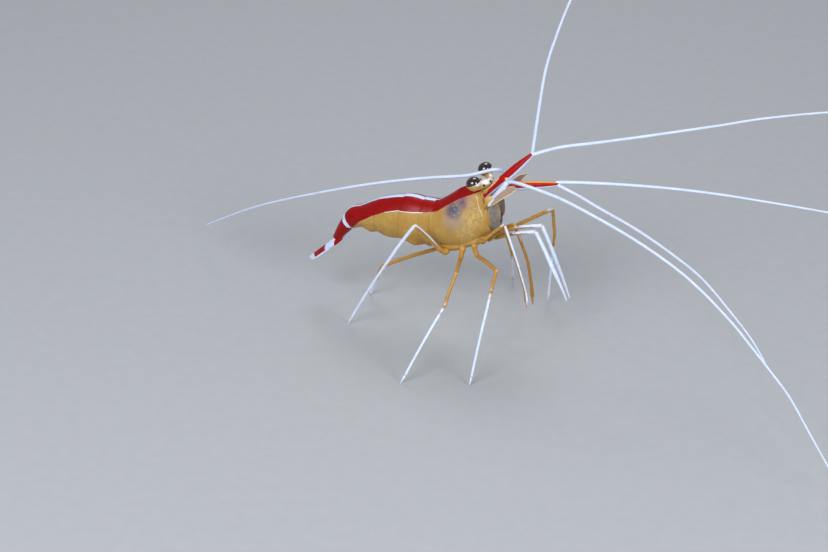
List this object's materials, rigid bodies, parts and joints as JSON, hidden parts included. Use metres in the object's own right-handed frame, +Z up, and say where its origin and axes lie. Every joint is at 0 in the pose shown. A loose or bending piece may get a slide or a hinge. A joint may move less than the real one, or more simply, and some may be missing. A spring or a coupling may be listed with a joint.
{
  "type": "cleaner shrimp",
  "caption": "Life-size cleaner shrimp standing on jointed legs, scarlet back with a white stripe, long white feelers spread.",
  "frame": {"origin": "on the floor under the middle of the overall box, feelers included", "axes": "+X towards the head, +Y the animal's left, +Z up from the floor that its feet stand on"},
  "size_m": [0.1654, 0.0638, 0.1041],
  "materials": {
    "amber_shell": "moist translucent amber shell",
    "scarlet_shell": "moist scarlet shell",
    "white_feeler": "finely ringed white",
    "amber_limb": "translucent amber",
    "white_limb": "bluish white",
    "dark_eye": "glossy faceted cornea",
    "pale_stalk": "translucent tan"
  },
  "bodies": {
    "root": {"abdomen_1": "amber_shell", "abdomen_2": "amber_shell", "abdomen_3": "amber_shell", "abdomen_4": "amber_shell", "abdomen_5": "amber_shell", "abdomen_6": "scarlet_shell", "antenna_left": "white_feeler", "antenna_left_flagellum_base": "white_feeler", "antenna_left_flagellum_tip": "white_feeler", "antenna_right": "white_feeler", "antenna_right_flagellum_base": "white_feeler", "antenna_right_flagellum_tip": "white_feeler", "antennal_scale_left": "pale_stalk", "antennal_scale_right": "pale_stalk", "antennule_left": "scarlet_shell", "antennule_left_flagellum_lower": "white_feeler", "antennule_left_flagellum_upper": "white_feeler", "antennule_right": "scarlet_shell", "antennule_right_flagellum_lower": "white_feeler", "antennule_right_flagellum_upper": "white_feeler", "carapace": "amber_shell", "claw_left_1_lower": "amber_limb", "claw_left_1_upper": "amber_limb", "claw_left_2_lower": "amber_limb", "claw_left_2_upper": "amber_limb", "claw_right_1_lower": "amber_limb", "claw_right_1_upper": "amber_limb", "claw_right_2_lower": "amber_limb", "claw_right_2_upper": "amber_limb", "eye_left": "dark_eye", "eye_right": "dark_eye", "eyestalk_left": "pale_stalk", "eyestalk_right": "pale_stalk", "leg_left_3_lower": "white_limb", "leg_left_3_upper": "amber_limb", "leg_left_4_lower": "white_limb", "leg_left_4_upper": "amber_limb", "leg_left_5_lower": "white_limb", "leg_left_5_upper": "amber_limb", "leg_right_3_lower": "white_limb", "leg_right_3_upper": "amber_limb", "leg_right_4_lower": "white_limb", "leg_right_4_upper": "amber_limb", "leg_right_5_lower": "white_limb", "leg_right_5_upper": "amber_limb", "maxilliped_left_lower": "white_limb", "maxilliped_left_upper": "white_limb", "maxilliped_right_lower": "white_limb", "maxilliped_right_upper": "white_limb", "mouthparts": "amber_shell", "rostrum": "scarlet_shell", "telson": "scarlet_shell", "uropod_left_inner": "scarlet_shell", "uropod_left_outer": "scarlet_shell", "uropod_right_inner": "scarlet_shell", "uropod_right_outer": "scarlet_shell"}
  },
  "joints": []
}
